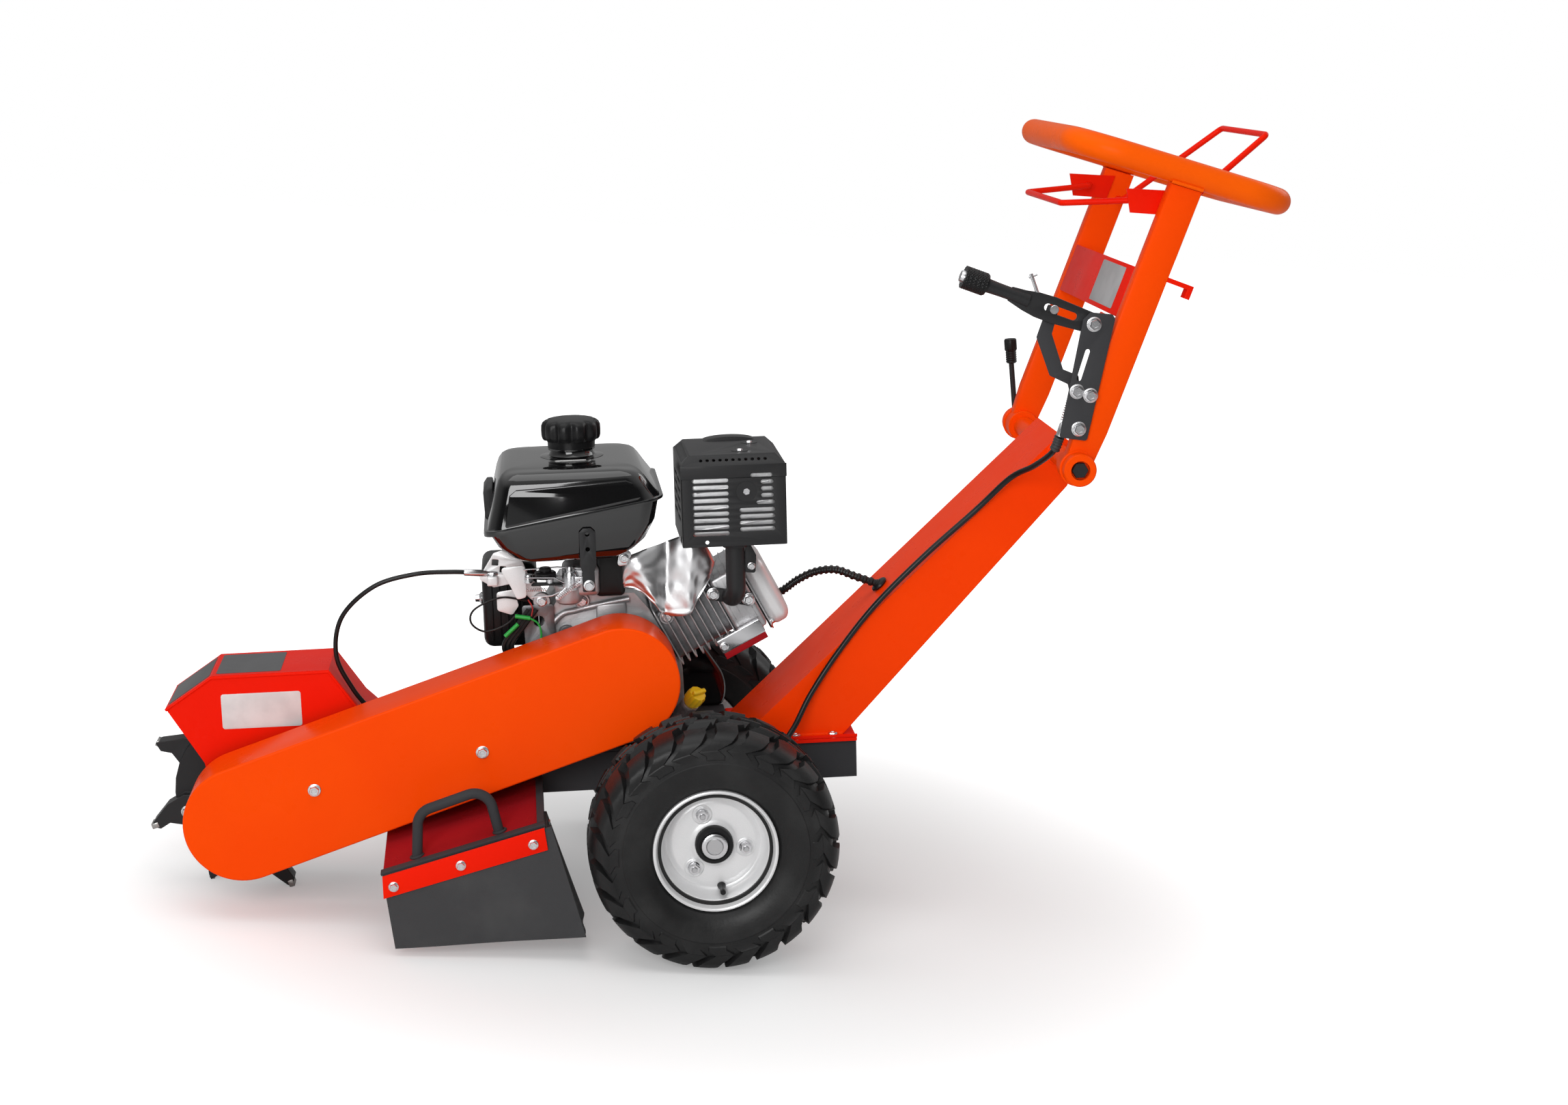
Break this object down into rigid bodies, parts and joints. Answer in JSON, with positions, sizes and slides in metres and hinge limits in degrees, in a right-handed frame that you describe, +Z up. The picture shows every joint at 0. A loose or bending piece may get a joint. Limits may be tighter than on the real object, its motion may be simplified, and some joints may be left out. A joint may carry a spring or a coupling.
{
  "type": "stump grinder",
  "caption": "Walk-behind stump grinder: an engine belt-drives a toothed cutter wheel in a guard, on a two-wheeled frame with a folding column handle.",
  "frame": {"origin": "middle of the machine's footprint, on the ground, with the machine parked on its two tyres and its cutter", "axes": "+X towards the operator, along the machine; +Y to the side away from the belt drive; +Z up"},
  "size_m": [1.6118, 0.72, 1.2333],
  "materials": {
    "orange_paint": "gloss orange powder coat",
    "red_paint": "gloss red paint",
    "dark_grey_paint": "satin dark grey paint",
    "black_gloss": "gloss black enamel",
    "satin_black_steel": "satin black",
    "tyre_rubber": "knobbly rubber tread",
    "flap_rubber": "matt rubber sheet",
    "silver_paint": "silver paint",
    "cast_aluminium": "as cast",
    "plated_steel": "zinc plated",
    "bright_shield": "bright stamped sheet",
    "cable_sheath": "black sheath",
    "belt_rubber": "fabric covered belt",
    "yellow_plastic": "yellow plastic"
  },
  "bodies": {
    "chassis": {"frame": "dark_grey_paint", "engine_deck": "dark_grey_paint", "column_plate": "red_paint", "column": "orange_paint", "pivot_tube": "orange_paint", "axle": "plated_steel", "brake_band": "dark_grey_paint", "cutter_guard": "red_paint", "near_bearing": "cast_aluminium", "far_bearing": "cast_aluminium", "belt_guard": "orange_paint", "belt_guard_back": "dark_grey_paint", "drive_belt": "belt_rubber", "crankcase": "cast_aluminium", "cylinder": "cast_aluminium", "valve_cover": "silver_paint", "fuel_tank": "black_gloss", "muffler_guard": "satin_black_steel", "muffler": "plated_steel", "exhaust_pipe": "satin_black_steel", "heat_shield": "bright_shield", "carburettor": "cast_aluminium", "air_cleaner": "satin_black_steel", "throttle_bracket": "plated_steel", "fan_housing": "black_gloss", "recoil_starter": "black_gloss", "chip_chute": "dark_grey_paint", "front_flap": "flap_rubber", "side_flap": "flap_rubber", "flap_clamp_strip": "red_paint", "throttle_cable": "cable_sheath", "wiring_harness": "cable_sheath", "brake_cable": "cable_sheath"},
    "near_wheel": {"near_wheel_tyre": "tyre_rubber", "near_wheel_rim": "silver_paint", "brake_drum": "cast_aluminium"},
    "far_wheel": {"far_wheel_tyre": "tyre_rubber", "far_wheel_rim": "silver_paint"},
    "cutter": {"cutter_wheel": "satin_black_steel", "cutter_shaft": "plated_steel", "cutter_pulley": "cast_aluminium"},
    "crank": {"crankshaft": "plated_steel", "clutch_pulley": "cast_aluminium"},
    "handle": {"near_post": "orange_paint", "far_post": "orange_paint", "pivot_bolt": "plated_steel", "handle_loop": "orange_paint", "placard_plate": "red_paint", "brake_bracket": "dark_grey_paint"},
    "clamp_lever": {"clamp_lever": "satin_black_steel"},
    "front_bail": {"front_bail": "red_paint"},
    "rear_bail": {"rear_bail": "red_paint"},
    "brake_lever": {"brake_lever": "satin_black_steel", "roller_pin": "plated_steel"},
    "brake_link": {"brake_link": "dark_grey_paint"},
    "lever_button": {"lever_button": "satin_black_steel"},
    "fuel_cap": {"fuel_cap": "black_gloss"},
    "oil_dipstick": {"oil_dipstick": "yellow_plastic"},
    "starter_grip": {"starter_grip": "satin_black_steel"}
  },
  "joints": [
    {"name": "near_wheel_spin", "type": "hinge", "parent": "chassis", "child": "near_wheel", "pos_m": [0.01703, -0.2875, 0.181], "axis": [0, 1, 0], "continuous": true},
    {"name": "far_wheel_spin", "type": "hinge", "parent": "chassis", "child": "far_wheel", "pos_m": [0.01703, 0.2875, 0.181], "axis": [0, 1, 0], "continuous": true},
    {"name": "cutter_spin", "type": "hinge", "parent": "chassis", "child": "cutter", "pos_m": [-0.65623, -0.0175, 0.14967], "axis": [0, 1, 0], "continuous": true},
    {"name": "crank_spin", "type": "hinge", "parent": "chassis", "child": "crank", "pos_m": [-0.12122, -0.0175, 0.37126], "axis": [0, 1, 0], "continuous": true},
    {"name": "handle_fold", "type": "hinge", "parent": "chassis", "child": "handle", "pos_m": [0.51235, -0.0175, 0.73944], "axis": [0, 1, 0], "range_deg": [-75, 60], "deforming": ["brake_cable"]},
    {"name": "clamp_lever_turn", "type": "hinge", "parent": "handle", "child": "clamp_lever", "pos_m": [0.51235, -0.0175, 0.73944], "axis": [0, 1, 0], "range_deg": [-30, 90]},
    {"name": "front_bail_squeeze", "type": "hinge", "parent": "handle", "child": "front_bail", "pos_m": [0.58006, -0.0175, 1.1256], "axis": [0, 1, 0], "range_deg": [0, 32], "stiffness_Nm_per_rad": 1.5, "springref_deg": -20.05},
    {"name": "rear_bail_press", "type": "hinge", "parent": "handle", "child": "rear_bail", "pos_m": [0.63202, -0.0175, 1.10744], "axis": [0, 1, 0], "range_deg": [0, 20], "stiffness_Nm_per_rad": 1.5, "springref_deg": -28.65},
    {"name": "brake_lever_pull", "type": "hinge", "parent": "handle", "child": "brake_lever", "pos_m": [0.51553, -0.224, 0.94869], "axis": [0, 1, 0], "range_deg": [0, 38]},
    {"name": "brake_link_turn", "type": "hinge", "parent": "handle", "child": "brake_link", "pos_m": [0.5001, -0.224, 0.85119], "axis": [0, 1, 0], "range_deg": [0, 20]},
    {"name": "lever_button_press", "type": "slide", "parent": "brake_lever", "child": "lever_button", "axis": [0.9618, 0, -0.2737], "range_m": [0, 0.0035], "stiffness_N_per_m": 300, "springref_m": -0.001},
    {"name": "fuel_cap_turn", "type": "hinge", "parent": "chassis", "child": "fuel_cap", "pos_m": [-0.20972, -0.0375, 0.70588], "axis": [-0.0947, 0, 0.9955], "range_deg": [0, 90]},
    {"name": "dipstick_turn", "type": "hinge", "parent": "chassis", "child": "oil_dipstick", "pos_m": [-0.01129, -0.09966, 0.33221], "axis": [0.3801, -0.5443, 0.7478], "continuous": true},
    {"name": "starter_pull", "type": "slide", "parent": "chassis", "child": "starter_grip", "axis": [0.7017, 0, 0.7125], "range_m": [0, 0.45], "stiffness_N_per_m": 12, "springref_m": -0.4}
  ],
  "couplings": [
    {"joint": "crank_spin", "follows": "cutter_spin", "ratio": 1.069},
    {"joint": "brake_link_turn", "follows": "brake_lever_pull", "ratio": 0.52}
  ]
}
